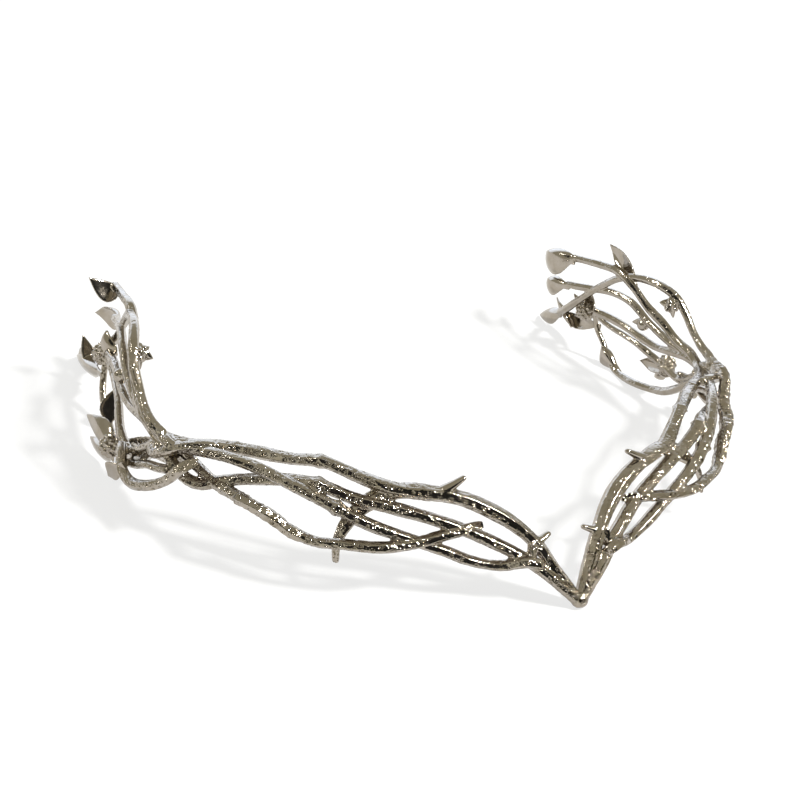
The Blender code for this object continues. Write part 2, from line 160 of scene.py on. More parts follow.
# Finish: colours, roughness, and noise as scale, detail and roughness
PLATE_WARM = (0.335, 0.293, 0.232, 1.0)
PLATE_PALE = (0.40, 0.36, 0.312, 1.0)
# Painted shade: colour multiplied into the plate where the relief is deepest
PIT_PAINTED_SHADE = (0.6, 0.57, 0.5, 1.0)
ROUGH_LEAST = 0.07
ROUGH_MOST = 0.17
PATCH_NOISE = (260.0, 4.0, 0.6)
PATCH_EDGES = (0.35, 0.65)
# Share of the relief depth where the painted shade in the pits begins
PIT_SHADE_FROM = 0.35
WEAR_NOISE = (900.0, 5.0, 0.65)
GRAIN_NOISE = (2200.0, 3.0, 0.5)
GRAIN_BUMP = 0.3
SPECK_SPACING = 0.0008
SPECK_SIZE = 0.3
SPECK_SHARE = 0.45
SPECK_DEPTH = 0.00022
FINE_BUMP = 0.00005
PAPER_ALBEDO = 0.22
PAPER_GLOW = 0.72

# Studio
CAMERA_PLACE = Vector((-0.13296, -0.14151, 0.13804))
CAMERA_AZIMUTH = math.radians(30.4)
CAMERA_DROP = math.radians(26.8)
CAMERA_ROLL = math.radians(7.85)
LENS_MM = 49.5
CLIP_START = 0.01
FLOOR_SIZE = 12.0
LIT_CENTRE = Vector((0.0, 0.065, 0.015))
ROOM_TONE = (0.525, 0.505, 0.408, 1.0)
DARK_TONE = (0.03, 0.03, 0.03, 1.0)
SWEEP_TONE = (1.75, 1.95, 2.3, 1.0)
BACKDROP_TONE = (0.86, 0.86, 0.85, 1.0)
GLOW_TONE = (0.88, 0.87, 0.75, 1.0)
# Azimuth and elevation in degrees, cosines where it starts and is full, tone
ROOM_LOBES = [
    (228.0, 18.0, (0.70, 0.86), GLOW_TONE),
    (170.0, 31.0, (0.825, 0.90), DARK_TONE),
    (192.0, 43.0, (0.94, 0.972), DARK_TONE),
    (212.0, 47.0, (0.94, 0.972), DARK_TONE),
    (262.0, 24.0, (0.94, 0.972), DARK_TONE),
    (2.0, 3.0, (0.80, 0.94), SWEEP_TONE),
    (30.0, 4.0, (0.80, 0.94), SWEEP_TONE),
]
# Name, azimuth and elevation in degrees, distance, width, height, watts, colour
SOFTBOXES = [
    ("key", 128.0, 53.0, 3.0, 0.4, 0.4, 141.0, (1.0, 0.99, 0.97)),
    ("glint_left", -62.0, 34.0, 3.0, 0.3, 0.3, 14.0, (1.0, 1.0, 1.0)),
]

# One half of the twigs: radius at the start, radius at the end, and stations (s, h, o).
TWIGS = {
    "upper_front": (STOUT, 1.6, [
        (-0.6, 0.6, 0), (6, 6.8, -1.5), (10, 11.3, -2.5), (16, 15.4, -3.6), (22, 18.1, -3.8),
        (28, 20.2, -3.2), (35, 21, -2.2), (40, 20.9, -1.8), (44, 19.6, -1), (47.5, 18, 1)]),
    "upper_front_end": (1.5, 0.55, [
        (44.5, 19.4, -0.7), (47.5, 17.9, 1.2), (50, 15.6, 4), (51.6, 12, 6.6),
        (51.4, 7.8, 8.2)]),
    "crest": (STOUT, MIDDLE, [
        (36, 21.2, -1.4), (43, 21.6, -1.2), (50, 22.7, -2.2), (57, 24.1, -3.3), (64, 23, -4.5),
        (72, 22.7, -4.8), (80, 22.6, -3.2), (87, 21.5, -0.6), (93, 21.4, 1.2), (99, 22.8, 1.2),
        (105, 23.8, 0.2), (111, 26.4, -0.7), (118, 29.1, -1.6), (124, 33, -3), (130, 35, -3.4),
        (138, 34.2, -3.4), (145, 33, -3.7), (151, 31.8, -3.9)]),
    "brow_lower": (MIDDLE, MIDDLE, [
        (9, 9.5, 0.6), (13, 10.1, 1.5), (18, 8.6, 1.8), (24, 9.4, 2.8), (30, 11.6, 3.8),
        (38, 14, 4.8), (47, 16.9, 5.6), (54, 19.6, 5.2), (62, 21.8, 3.5), (71, 23.3, 1.5),
        (79, 23, 1), (88, 21.4, 1.6), (95, 21.4, 1.6), (101, 22, 0.8), (107, 22.3, 0),
        (117, 24.2, -0.2), (126, 27.4, -0.9), (132, 27.6, -1.8), (140, 25.8, -3), (148, 23.8, -3.8),
        (151, 23.1, -3.8)]),
    "outer_front": (1.1, MIDDLE, [
        (22, 15.5, -2), (26, 14.9, -0.2), (31, 14.1, 2.4), (36, 13.4, 5.2), (42, 13.1, 7.8),
        (50, 13.2, 8.9), (56, 13, 9), (60.5, 13.8, 8.2)]),
    "outer_lower": (1.3, 1.35, [
        (58, 13.2, 8.7), (60.5, 13.8, 8.2), (65, 16, 7), (69, 17.6, 6.6), (72, 18, 6)]),
    "outer_top_right": (1.35, MIDDLE, [
        (69, 17.6, 6.6), (74, 18.2, 6), (78.6, 20, 4.8), (81, 21.8, 4.9), (83.4, 23.4, 5.1),
        (86, 24.5, 4.8), (89.4, 24.4, 4.2), (93, 24.6, 3.6), (97.5, 26, 2.6)]),
    "outer_top_left": (1.35, MIDDLE, [
        (69, 17.6, 6.6), (71.4, 17.8, 5.4), (74.5, 17.3, 3.6), (80.7, 17.5, 1.2),
        (83.4, 18.5, 0.8), (88, 21, 1.2), (93, 22.4, 2)]),
    "riser": (MIDDLE, MIDDLE, [
        (90, 23, 3), (93, 24.6, 3.5), (97.5, 26, 2.6), (101.5, 28.4, 1.7), (105.5, 31.7, 1.2),
        (109.5, 34.9, 0.2), (115.5, 36.5, -1.2), (124, 35.5, -2.2), (130, 33, -3),
        (136, 28.4, -3.3), (145, 20, -3), (152, 13.8, -1.6), (156, 11, -0.2)]),
    "main_front": (STOUT, MIDDLE, [
        (-0.5, 0.9, 0.2), (4, 4.3, 0.3), (8, 7.2, 0.4), (13, 9.8, -0.1), (18, 11.9, -0.2),
        (25, 14.1, -0.4), (34, 16.7, 0.4), (42, 18.4, 1.2), (50, 19.8, 1.9), (57, 21.9, 2.1),
        (63, 21.3, 1), (69.4, 20, 1), (73.4, 18.9, 1.2), (77, 17.6, 1.9), (80.6, 16, 2.8),
        (83.1, 16.1, 3.3), (85.5, 17.2, 3.5), (88.6, 19, 3.1), (93, 20.8, 2.2), (99, 21.6, 0.9),
        (105, 20.4, 0), (113, 18.7, 0), (120, 18.7, 0.2), (127, 19.2, -0.2), (134, 19.1, -0.5),
        (141, 18.2, -0.4)]),
    "temple_loop": (STOUT, MIDDLE, [
        (80.6, 22.8, 5.3), (82.8, 20.4, 6), (86, 16.2, 6.8), (90.6, 12.8, 7.5),
        (95, 11, 7.4), (99, 11.6, 6.8), (102.5, 13, 5.2), (106, 13.2, 3.6)]),
    "flower_link": (STALK, STEM, [
        (139, 17.2, -0.2), (132, 16.4, 0), (126, 16.2, 0.5), (121, 15.8, 1), (116, 14.7, 1.8),
        (110, 13.4, 2.6), (103, 12.8, 2.8), (98, 16, 2.4), (93, 19.8, 2.6)]),
    "lower_loop": (STEM, STALK, [
        (91, 20.4, 3.2), (95, 17.2, 2.4), (100, 12, 1.4), (105, 8.2, 0.3), (110, 6.4, 0),
        (116, 5, 0), (122, 4, 0.7), (127, 3.8, 1.2), (131.6, 5.8, 1.6), (135.4, 9.2, 1.8),
        (139, 13.2, 1), (140, 17.8, 0)]),
    "knot_wrap": (MIDDLE, MIDDLE, [
        (80, 23, -1.8), (84, 23.2, 1.6), (88, 21.4, 4.6), (92, 18.8, 4.2), (96, 19.4, 1)]),
    "knot_bridge": (MIDDLE, MIDDLE, [
        (86.5, 22.6, 4.2), (90, 22.9, 3.4), (94, 22.4, 2)]),
    "web": (MIDDLE, MIDDLE, [
        (12, 13.1, -2.6), (11.8, 11.5, -1.4), (11.5, 9.3, -0.1)]),
    "web_edge": (MIDDLE, MIDDLE, [
        (86.5, 17.6, 4.6), (90, 16.2, 4.4), (94, 14.8, 4), (98, 12.6, 4), (102, 11, 4)]),
}

# Thorns: radius at the root, and stations from root to point.
THORNS = {
    "brow_thorn": (1.1, [(12, 12.3, -2.6), (10.4, 12.5, -3.8), (8.2, 13.5, -5.9)]),
    "crest_thorn": (1.2, [(32.5, 21.2, -2.6), (30, 22.6, -4), (27.6, 24, -5.8)]),
}

# Swellings where a twig was jointed, and balls, from RING_LARGEST up, where twigs meet or end:
# (s, h, o), radius.
NODES = [
    ((0.2, 1.6, 0), 1.8),
    ((57.5, 24.3, -3.4), 1.5),
    ((77, 22.8, -4), 1.4),
    ((52.5, 19.2, 5.3), 1.55),
    ((57, 21.8, 2.1), 1.6),
    ((60.3, 14.1, 8.2), 1.45),
    ((119.9, 22.4, 0.6), 1.9),
]

# Leaves and petals: root, point, broadest corner, breadth on the other side, thickness, how far
# the edges rise and how far the middle of the length rises.
LEAVES = {
    "top_tip_leaf": ((148.6, 32.6, -4), (166.3, 27.2, -0.4), (154.8, 24.3, -4), 2, 1.2, -2.4, 3),
    "top_tip_leaf_left": ((148.4, 29.8, -4.2), (150.4, 34.4, 2.5), (147.2, 28.7, -1.2), 2.3, 1, -0.5,
                          0.5),
    "mid_tip_leaf": ((148.8, 23.6, -4), (162.8, 19.5, -1.2), (155.3, 17.3, -3.6), 2, 1.2, -1.8, 2),
    "crest_leaf": ((123, 32.8, -3), (139.2, 40.2, -0.9), (128.2, 39.4, -1.8), 2, 1.2, -1.6, 0),
    "end_leaf": ((154, 11.2, -0.4), (168, 4.9, 2.5), (161.5, 10.6, 1.9), 3, 1.2, 1.2, 0),
    "end_petal_left": ((150.2, 8.5, 1.2), (154.8, 17.2, 3.3), (152.4, 12.5, 0.3), 1.8, 1, 0.3, -0.3),
    "end_petal": ((150.2, 8.5, 1.2), (161.4, 14.1, 2.3), (155.3, 12, 0.4), 1.7, 1.1, 1.3, 0),
    "curled_leaf": ((128.4, 4.8, 1.6), (132.7, 12.2, 0), (130.7, 8.9, 3.5), 2, 1, -0.4, 0.2),
    "bud": ((126, 3.9, 1.8), (135.2, 8.7, 1.4), (135.4, 3.6, 1.6), 1.2, 3, 0, 0),
    "loop_leaf": ((97.8, 13.2, 7), (103.4, 7.4, 7.7), (102.8, 11.6, 8.2), 1.8, 1.3, 0.8, 0),
    "stalk_leaf": ((104.5, 13.4, 2.8), (112.5, 10, 3.4), (109.5, 10, 3.2), 1.4, 1.3, 0.2, 0),
    "low_petal_1_left": ((107.9, 8.6, 4.6), (122.7, 5.8, 7), (114, 4.2, 6), 1.6, 1.2, 1.6, 0),
    "low_petal_2_left": ((109, 9.4, 4.4), (124.3, 10.9, 7.5), (114, 14.2, 5), 2, 1.2, -1.6, 0),
    "low_petal_1_right": ((108.2, 12.6, 4), (115.4, 7, 5.6), (114.5, 10.6, 5), 1.6, 1.2, 0.8, 0),
    "low_petal_2_right": ((107.4, 13.2, 3.8), (123.2, 8.7, 6), (116, 13, 5), 2.2, 1.2, -1.4, 0),
    "rear_petal_1": ((138, 14, 1.2), (160.6, 8.8, 3.8), (149, 8.2, 2.8), 1.8, 1.2, 1.8, 0),
    "rear_petal_2": ((142.5, 14.4, 0.2), (143.3, 23.3, -0.7), (138.2, 19.8, -1.6), 2.4, 1.2, -1.4, 0),
    "rear_petal_3": ((141, 16, 0.4), (149.5, 20.4, -1.4), (147, 19.8, -0.8), 1.6, 1.2, 1, 0),
    "inner_thorn_leaf": ((117, 23.4, 0.2), (124, 21.6, 0), (120.5, 24.4, 0), 0.8, 1.4, 0, 0),
    "knot_web": ((84, 19, 1.5), (112, 10, 2), (95, 20, 1.5), 3, 1.6, 0, 0),
}
LEAF_BARK = {"knot_web": 1.0}

# Flower hearts: (s, h, o), radius.
HEARTS = {
    "low_flower_left": ((110.4, 9.9, 4.8), 2.2),
    "low_flower_right": ((110.8, 13.5, 4), 2.4),
    "rear_flower": ((144, 16.6, -0.2), 2.6),
    "high_flower": ((109.8, 32.8, -0.8), 1.8),
}

# Sources that only one half has: 1 towards +X, -1 towards -X.
ONE_SIDED = {
    "outer_top_right": 1, "outer_top_left": -1,
    "top_tip_leaf": 1, "top_tip_leaf_left": -1, "end_petal": 1, "end_petal_left": -1,
    "knot_web": -1,
    "crest_leaf": 1, "bud": 1, "curled_leaf": -1,
    "low_petal_1_right": 1, "low_petal_2_right": 1, "low_flower_right": 1,
    "low_petal_1_left": -1, "low_petal_2_left": -1, "low_flower_left": -1,
}

# The small flower that hangs inside the crest: (along, up, out) of its axis, petal length, petals.
HIGH_FLOWER = ((0.3, -0.8, -0.5), 3.6, 5)


def rail(s):
    """Point on the plan line, its direction and its outward side, at s millimetres."""
    heading = FRONT_ANGLE + min(max(s - FRONT_RUN, 0.0), TEMPLE_RUN) / TEMPLE_RADIUS
    straight = min(s, FRONT_RUN)
    beyond = max(s - FRONT_RUN - TEMPLE_RUN, 0.0)
    x = straight * math.cos(FRONT_ANGLE) + beyond * math.cos(REAR_HEADING)
    y = straight * math.sin(FRONT_ANGLE) + beyond * math.sin(REAR_HEADING)
    x += TEMPLE_RADIUS * (math.sin(heading) - math.sin(FRONT_ANGLE))
    y += TEMPLE_RADIUS * (math.cos(FRONT_ANGLE) - math.cos(heading))
    along = Vector((math.cos(heading), math.sin(heading), 0.0))
    out = Vector((math.sin(heading), -math.cos(heading), 0.0))
    return Vector((x, y, 0.0)), along, out


def place(station):
    """World point, in metres, of a station (s, h, o) in millimetres."""
    s, height, offset = station
    point, _, out = rail(s)
    return SETTLE @ (point + out * offset + Vector((0.0, 0.0, height))) * MM


def aim(station, direction):
    """World direction of (along, up, out) at a station."""
    _, along, out = rail(station[0])
    forward, up, outward = direction
    return (along * forward + Vector((0.0, 0.0, up)) + out * outward).normalized()


# ---------------------------------------------------------------- twigs

def smooth_path(stations, step):
    """Points every step along a smooth curve through the stations: point, rail distance, share."""
    knots = [place(station) for station in stations]
    gaps = [(b - a).length for a, b in zip(knots, knots[1:])]
    slopes = [(knots[1] - knots[0]) / gaps[0]]
    for index in range(1, len(gaps)):
        near, far = gaps[index - 1], gaps[index]
        before = (knots[index] - knots[index - 1]) / near
        after = (knots[index + 1] - knots[index]) / far
        slopes.append((before * far + after * near) / (near + far))
    slopes.append((knots[-1] - knots[-2]) / gaps[-1])
    path = []
    for index, gap in enumerate(gaps):
        count = max(int(gap / step), 1)
        for number in range(count + (index == len(gaps) - 1)):
            t = number / count
            point = (knots[index] * (2 * t ** 3 - 3 * t ** 2 + 1)
                     + slopes[index] * gap * (t ** 3 - 2 * t ** 2 + t)
                     + knots[index + 1] * (3 * t ** 2 - 2 * t ** 3)
                     + slopes[index + 1] * gap * (t ** 3 - t ** 2))
            s = stations[index][0] + (stations[index + 1][0] - stations[index][0]) * t
            path.append((point, s, (index + t) / len(gaps)))
    return path


class Sources:
    """Vertices and faces of overlapping closed sources, with what the relief needs."""

    def __init__(self):
        self.points = []
        self.faces = []
        self.grain = []
        self.bark = []

    def add(self, points, faces, grain, bark):
        first = len(self.points)
        self.points.extend(points)
        self.faces.extend([tuple(first + corner for corner in face) for face in faces])
        self.grain.extend(grain)
        self.bark.extend(bark)

    def add_shape(self, shape, bark):
        """Add a bmesh whose grain follows the world's axes, and free it."""
        points = [vert.co.copy() for vert in shape.verts]
        faces = [tuple(vert.index for vert in face.verts) for face in shape.faces]
        self.add(points, faces, [point / MM for point in points], [bark] * len(points))
        shape.free()


def add_twig(sources, index, stations, start_radius, end_radius, section, blunt_start, thorn,
             bark_least=SHELTERED_BARK):
    """A twig of six soft flats that turns and swells along its length, closed at its ends."""
    depth_share, height_share, lean = section
    path = smooth_path(stations, PATH_STEP * MM)
    centres = [point for point, _, _ in path]
    arc = [0.0]
    for here, there in zip(centres, centres[1:]):
        arc.append(arc[-1] + (there - here).length / MM)
    phase = TWIG_PHASE * index
    points, grain, bark = [], [], []
    for number, (centre, s, share) in enumerate(path):
        ahead = centres[min(number + 1, len(centres) - 1)]
        behind = centres[max(number - 1, 0)]
        along = (ahead - behind).normalized()
        outward = rail(s)[2]
        depth_way = (outward - along * outward.dot(along)).normalized()
        height_way = along.cross(depth_way)
        radius = (start_radius + (end_radius - start_radius) * share) * SWELL
        from_start, to_end = arc[number], arc[-1] - arc[number]
        wander = noise.noise(Vector((arc[number] * GIRTH_PACE, phase, GIRTH_SEED)))
        turn = SECTION_TWIST * noise.noise(Vector((arc[number] * TURN_PACE, phase, TURN_SEED)))
        if not thorn:
            radius *= 1.0 + GIRTH_WANDER * wander
            radius = ring_swell(centre, radius)
        radius *= round_off(from_start, BLUNT_ROUND if blunt_start else radius)
        radius *= round_off(to_end, radius)
        deepened = depth_share * front_depth(s)
        rough = 0.0 if thorn else bark_amount(centre)
        sheltered = bark_least * rough
        for corner in range(RING_POINTS):
            angle = math.tau * corner / RING_POINTS
            reach = radius if thorn else radius * faceted(angle - turn)
            if bark_least > SHELTERED_BARK:
                reach *= scaly(arc[number], angle, phase)
            across = math.cos(angle) * reach * deepened
            upright = math.sin(angle) * reach * height_share
            deep = across * math.cos(lean) - upright * math.sin(lean)
            high = across * math.sin(lean) + upright * math.cos(lean)
            if blunt_start:
                deep, high = cut_obliquely(deep, high, radius, from_start)
            points.append(centre + (depth_way * deep + height_way * high) * MM)
            grain.append(Vector((arc[number] / GRAIN_STRETCH + GRAIN_APART * index, deep, high)))
            bark.append(sheltered + (rough - sheltered) * max(math.cos(angle), 0.0))
    sources.add(points, tube_faces(len(centres)), grain, bark)


def tube_faces(rings):
    """Faces between rings of points, with a cap at each end."""
    faces = []
    for number in range(rings - 1):
        for corner in range(RING_POINTS):
            turned = (corner + 1) % RING_POINTS
            low, high = number * RING_POINTS, (number + 1) * RING_POINTS
            faces.append((low + corner, low + turned, high + turned, high + corner))
    faces.append(tuple(reversed(range(RING_POINTS))))
    faces.append(tuple(range((rings - 1) * RING_POINTS, rings * RING_POINTS)))
    return faces


def faceted(angle):
    """Share of the round section's radius at an angle, for flats with softened corners."""
    half = math.pi / SIDES
    flat = math.cos(half) / math.cos(angle % (2.0 * half) - half)
    return 1.0 + FACETING * (flat - 0.5 * (1.0 + math.cos(half)))


def cut_obliquely(deep, high, radius, from_start):
    """A section's point, kept behind the slanting cut across the start of a broken twig."""
    beyond = (deep * math.cos(CUT_TURN) + high * math.sin(CUT_TURN)
              - radius * (2.0 * from_start / CUT_LENGTH - 1.0))
    if from_start > CUT_LENGTH or beyond < 0.0:
        return deep, high
    return deep - beyond * math.cos(CUT_TURN), high - beyond * math.sin(CUT_TURN)


def scaly(arc, angle, phase):
    """Share of the radius where scales of old bark ring a twig, arc millimetres along it."""
    wander = noise.noise(Vector((arc * SCALE_PACE, phase, SCALE_SEED)))
    start = arc / SCALE_LENGTH + SCALE_WANDER * wander
    lean = SCALE_LEAN * math.cos(angle + SCALE_DRIFT * arc)
    return 1.0 + SCALE_DEPTH * math.sin(math.tau * start + lean)


def front_depth(s):
    """How much deeper than high the section is, s millimetres along the rail."""
    fading = min(max((DEEP_TO[1] - s) / (DEEP_TO[1] - DEEP_TO[0]), 0.0), 1.0)
    return 1.0 + (FRONT_DEPTH - 1.0) * min(max(s / DEEP_FROM, 0.0), 1.0) * fading


def ring_swell(centre, radius):
    """Radius in millimetres after the ring scars near a centre are added."""
    for station, largest in NODES:
        if largest < RING_LARGEST:
            away = (centre - place(station)).length / MM
            radius *= 1.0 + (largest / radius - 1.0) * math.exp(-(away / RING_REACH) ** 2)
    return radius


def round_off(distance, radius):
    """Share of the full radius at a distance from a rounded end."""
    if distance >= radius:
        return 1.0
    return math.sqrt(max(1.0 - (1.0 - distance / radius) ** 2, LEAST_ROUND))


def bark_amount(point):
    """How rough the bark is at a world point: full in front, half of it behind the temples."""
    back = (point.y / MM - BARK_FULL_TO) / (BARK_LEAST_FROM - BARK_FULL_TO)
    share = min(max(back, 0.0), 1.0)
    return 1.0 + (BARK_LEAST - 1.0) * share * share * (3.0 - 2.0 * share)


# ---------------------------------------------------------------- leaves and flowers

def add_ball(sources, centre, radius, bark):
    shape = bmesh.new()
    bmesh.ops.create_icosphere(shape, subdivisions=BALL_SUBDIVISIONS, radius=radius)
    bmesh.ops.translate(shape, verts=shape.verts, vec=centre)
    sources.add_shape(shape, bark)


def add_blade(sources, root, point, corner, other_breadth, thickness, cupping, arch, bark):
    """A pointed leaf or petal from root to point, broadest towards the corner."""
    along = (point - root).normalized()
    length = (point - root).length
    least, most = LEAF_BROADEST
    broadest = min(max((corner - root).dot(along) / length, least), most)
    fullness = math.log(0.5) / math.log(broadest)
    reach = (corner - root) - along * (corner - root).dot(along)
    side = reach.normalized()
    normal = along.cross(side)
    shape = bmesh.new()
    around, lengthways = LEAF_SEGMENTS
    bmesh.ops.create_uvsphere(shape, u_segments=around, v_segments=lengthways, radius=1.0)
    for vert in shape.verts:
        share = (vert.co.z + 1.0) / 2.0
        ring = math.sqrt(max(1.0 - vert.co.z ** 2, 0.0))
        inside = LEAF_END < share < 1.0 - LEAF_END
        across = vert.co.x / ring if inside else 0.0
        through = vert.co.y / ring if inside else 0.0
        spread = math.sin(math.pi * share ** fullness) ** LEAF_SOFTNESS if inside else 0.0
        spread = max(spread, LEAF_ROOT * (share < broadest and inside))
        breadth = reach.length if across > 0.0 else other_breadth
        body = LEAF_EDGE + (1.0 - LEAF_EDGE) * spread if inside else 0.0
        rise = cupping * ((across * spread) ** 2 - 0.5 * spread) + arch * math.sin(math.pi * share)
        vert.co = (root + along * (share * length) + side * (across * spread * breadth)
                   + normal * (through * body * thickness / 2.0 + rise))
    sources.add_shape(shape, bark)


def add_small_flower(sources, station, opening, petal_length, petal_count):
    """A ring of pointed petals about a heart."""
    centre = place(station)
    axis = aim(station, opening)
    first = axis.orthogonal().normalized()
    for index in range(petal_count):
        turn = Matrix.Rotation(math.tau * index / petal_count, 3, axis)
        radial = turn @ first
        sideways = axis.cross(radial)
        length = petal_length * MM
        point = centre + (axis * PETAL_OPENING + radial).normalized() * length
        corner = centre + radial * (0.5 * length) + sideways * (PETAL_BREADTH * length)
        add_blade(sources, centre, point, corner,
                  PETAL_BREADTH * length, PETAL_THICKNESS * MM, 0.0, 0.0, 0.0)


def add_heart(sources, station, radius):
    """A round heart covered with small grains, spaced evenly over it."""
    centre = place(station)
    add_ball(sources, centre, radius * MM, 0.0)
    count = int(GRAINS_PER_MM2 * 4.0 * math.pi * radius ** 2)
    for index in range(count):
        rise = 1.0 - 2.0 * (index + 0.5) / count
        ring = math.sqrt(1.0 - rise ** 2)
        turn = index * GOLDEN_ANGLE
        direction = Vector((ring * math.cos(turn), ring * math.sin(turn), rise))
        add_ball(sources, centre + direction * (radius * MM), GRAIN_RADIUS * MM, 0.0)


def is_on(name, side):
    return ONE_SIDED.get(name, side) == side


def one_half(side):
    """Every source of one half, laid out towards +X whichever half it is for."""
    sources = Sources()
    for index, (name, (start, end, stations)) in enumerate(TWIGS.items()):
        if is_on(name, side):
            section = SECTIONS.get(name, PLAIN_SECTION)
            bark_least = 1.0 if name in BARK_ALL_ROUND else SHELTERED_BARK
            add_twig(sources, index, stations, start, end, section, name in BLUNT, False,
                     bark_least)
    for index, (root_radius, stations) in enumerate(THORNS.values(), len(TWIGS)):
        add_twig(sources, index, stations, root_radius, THORN_TIP, PLAIN_SECTION, False, True)
    for station, radius in NODES:
        if radius >= RING_LARGEST:
            add_ball(sources, place(station), radius * MM, bark_amount(place(station)))
    for name, (station, radius) in HEARTS.items():
        if is_on(name, side):
            add_heart(sources, station, radius)
    for name, (root, point, corner, other_breadth, thickness, cupping, arch) in LEAVES.items():
        if is_on(name, side):
            add_blade(sources, place(root), place(point), place(corner), other_breadth * MM,
                      thickness * MM, cupping * MM, arch * MM, LEAF_BARK.get(name, 0.0))
    add_small_flower(sources, HEARTS["high_flower"][0], *HIGH_FLOWER)
    return sources


def both_halves():
    """The half towards +X and, mirrored, the half towards -X."""
    sources = one_half(1)
    other = one_half(-1)
    points = [Vector((-point.x, point.y, point.z)) for point in other.points]
    faces = [tuple(reversed(face)) for face in other.faces]
    sources.add(points, faces, [grain + OTHER_HALF_SHIFT for grain in other.grain], other.bark)
    return sources


# ---------------------------------------------------------------- skin and relief

def apply_modifiers(piece):
    depsgraph = bpy.context.evaluated_depsgraph_get()
    mesh = bpy.data.meshes.new_from_object(piece.evaluated_get(depsgraph), depsgraph=depsgraph)
    piece.modifiers.clear()
    piece.data = mesh


def fuse(piece):
    """Fuse every overlapping source into one skin."""
    remesh = piece.modifiers.new("one_skin", "REMESH")
    remesh.mode = "VOXEL"
    remesh.voxel_size = SKIN_CELL * MM
    apply_modifiers(piece)


def outer_skin(mesh):
    """Drop sealed pockets, keeping the largest shell."""
    skin = bmesh.new()
    skin.from_mesh(mesh)
    unseen = set(skin.verts)
    shells = []
    while unseen:
        front = [unseen.pop()]
        shell = set(front)
        while front:
            for edge in front.pop().link_edges:
                for vert in edge.verts:
                    if vert in unseen:
                        unseen.remove(vert)
                        shell.add(vert)
                        front.append(vert)
        shells.append(shell)
    outer = max(shells, key=len)
    bmesh.ops.delete(skin, geom=[vert for vert in skin.verts if vert not in outer], context="VERTS")
    skin.to_mesh(mesh)
    skin.free()


def chipped(grain):
    """Depth, about 0 to 1, of small flats tilted at random that meet in short edges."""
    here = grain / CHIP
    distances, cells = noise.voronoi(here)
    nearest, next_one = [0.5 + (here - cell).dot(noise.noise_vector(cell * CHIP_SHUFFLE))
                         for cell in cells[:2]]
    share = 0.5 + 0.5 * min((distances[1] - distances[0]) / CHIP_EDGE, 1.0)
    return nearest * share + next_one * (1.0 - share)


def pitted(grain):
    """Depth, from 0 to 1, of small scattered pits."""
    distances, cells = noise.voronoi(grain / PIT_SPACING)
    chance = noise.noise(cells[0] * PIT_SHUFFLE)
    if chance < PIT_RARITY:
        return 0.0
    size = PIT_SIZE * (PIT_LEAST + chance)
    return max(1.0 - (distances[0] / size) ** 2, 0.0)


def carve(piece, sources):
    """Sink the relief into the skin, and keep how deep each vertex went as an attribute."""
    tree = kdtree.KDTree(len(sources.points))
    for index, point in enumerate(sources.points):
        tree.insert(point, index)
    tree.balance()
    mesh = piece.data
    depths = np.zeros(len(mesh.vertices), np.float32)
    barks = np.zeros(len(mesh.vertices), np.float32)
    normals = [vert.normal.copy() for vert in mesh.vertices]
    for vert in mesh.vertices:
        _, index, _ = tree.find(vert.co)
        bark = sources.bark[index]
        grain = sources.grain[index] + (vert.co - sources.points[index]) / MM
        depth = 0.0
        if bark > 0.0:
            ridge = noise.noise(Vector((grain.x / RIDGE_STRETCH, grain.y * RIDGE_PACE,
                                        grain.z * RIDGE_PACE)))
            depth = (CHIP_DEPTH * chipped(grain) + RIDGE_DEPTH * abs(ridge)
                     + PIT_DEPTH * pitted(grain)) * bark
        depth += FINE_DEPTH * noise.noise(grain * FINE_PACE)
        depths[vert.index] = depth
        barks[vert.index] = bark
        vert.co -= normals[vert.index] * (depth * MM)
    for name, values in (("relief", depths / DEEPEST), ("bark", barks)):
        mesh.attributes.new(name, "FLOAT", "POINT").data.foreach_set("value", values)


def thin_out(piece):
    """Collapse the flattest faces, down to the triangle count."""
    thin = piece.modifiers.new("thin_out", "DECIMATE")
    thin.ratio = min(SKIN_TRIANGLES / (2.0 * len(piece.data.polygons)), 1.0)
    thin.use_collapse_triangulate = True
    apply_modifiers(piece)


def keep_inside(mesh, low, high):
    """Hold every vertex inside the solid's box, which also makes the flats it rests on."""
    points = np.zeros(len(mesh.vertices) * 3)
    mesh.vertices.foreach_get("co", points)
    points = np.clip(points.reshape(-1, 3), np.array(low), np.array(high))
    mesh.vertices.foreach_set("co", points.ravel())


def take_part(name, points, corners, normals, attributes, chosen):
    """A piece made of the chosen triangles, keeping the whole skin's normals and attributes."""
    used, local = np.unique(corners[chosen], return_inverse=True)
    mesh = bpy.data.meshes.new(name)
    mesh.from_pydata(points[used], [], local.reshape(-1, 3))
    for key, values in attributes.items():
        mesh.attributes.new(key, "FLOAT", "POINT").data.foreach_set("value", values[used])
    mesh.shade_smooth()
    mesh.normals_split_custom_set_from_vertices(normals[used])
    part = bpy.data.objects.new(name, mesh)
    bpy.context.scene.collection.objects.link(part)
    return part


def split_up(piece):
    """Share the skin between four pieces: front and back of each half."""
    mesh = piece.data
    points = np.zeros(len(mesh.vertices) * 3)
    normals = np.zeros(len(mesh.vertices) * 3)
    corners = np.zeros(len(mesh.polygons) * 3, np.int32)
    mesh.vertices.foreach_get("co", points)
    mesh.vertex_normals.foreach_get("vector", normals)
    mesh.polygons.foreach_get("vertices", corners)
    points, normals, corners = (values.reshape(-1, 3) for values in (points, normals, corners))
    attributes = {}
    for key in ("relief", "bark"):
        attributes[key] = np.zeros(len(points), np.float32)
        mesh.attributes[key].data.foreach_get("value", attributes[key])
    middle = points[corners].mean(axis=1)
    left, back = middle[:, 0] < 0.0, middle[:, 1] > PIECE_SPLIT * MM
    parts = [take_part(name, points, corners, normals, attributes, chosen)
             for name, chosen in (("front_right", ~left & ~back), ("back_right", ~left & back),
                                  ("front_left", left & ~back), ("back_left", left & back))]
    bpy.data.objects.remove(piece)
    return parts


